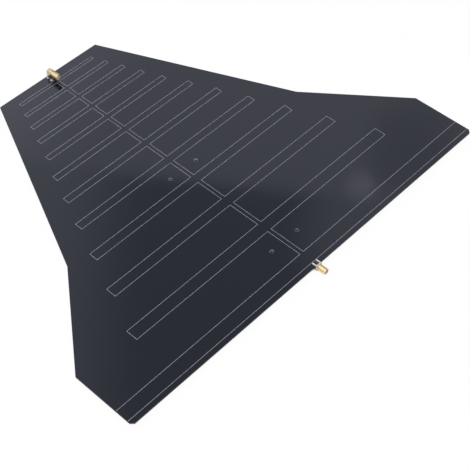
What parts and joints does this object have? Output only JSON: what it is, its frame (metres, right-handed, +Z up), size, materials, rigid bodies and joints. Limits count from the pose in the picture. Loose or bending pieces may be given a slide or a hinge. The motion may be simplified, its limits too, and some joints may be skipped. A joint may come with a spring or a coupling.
{
  "type": "directional antenna",
  "caption": "Flat directional antenna on a dark board: printed dipoles across a central boom shorten toward the narrow front, with a threaded coaxial jack at each end of the boom.",
  "frame": {"origin": "centre of the bounding box's bottom, level with the lowest edge of the rear jack's flange", "axes": "+Y along the boom in the direction of the beam, from the wide rear edge to the narrow front; +X to the right across the board; +Z up out of the printed face"},
  "size_m": [0.432, 0.358, 0.015],
  "materials": {
    "solder_mask": "glossy black solder mask over glass-epoxy board",
    "masked_foil": "glossy black solder mask over copper foil",
    "outline_ink": "satin grey printing ink",
    "tinned_copper": "bright tinned copper",
    "gold_plate": "gold-plated turned brass, legs tinned",
    "solder": "bright solder",
    "insulator": "smooth white fluoroplastic"
  },
  "bodies": {
    "root": {"circuit_board": "solder_mask", "top_conductor": "masked_foil", "bottom_conductor": "masked_foil", "outline_left": "outline_ink", "outline_right": "outline_ink", "outline_rear": "outline_ink", "mount_hole_lining_1": "tinned_copper", "mount_hole_lining_2": "tinned_copper", "mount_hole_lining_3": "tinned_copper", "mount_hole_lining_4": "tinned_copper", "rear_jack_body": "gold_plate", "rear_jack_insulator": "insulator", "rear_jack_contact": "gold_plate", "rear_leg_solder_left": "solder", "rear_leg_solder_right": "solder", "rear_pin_solder": "solder", "front_jack_body": "gold_plate", "front_jack_insulator": "insulator", "front_jack_bead": "insulator", "front_jack_contact": "gold_plate", "front_jack_cap": "gold_plate", "front_leg_solder_1": "solder", "front_leg_solder_2": "solder", "front_leg_solder_3": "solder", "front_leg_solder_4": "solder", "front_pin_solder": "solder"}
  },
  "joints": []
}
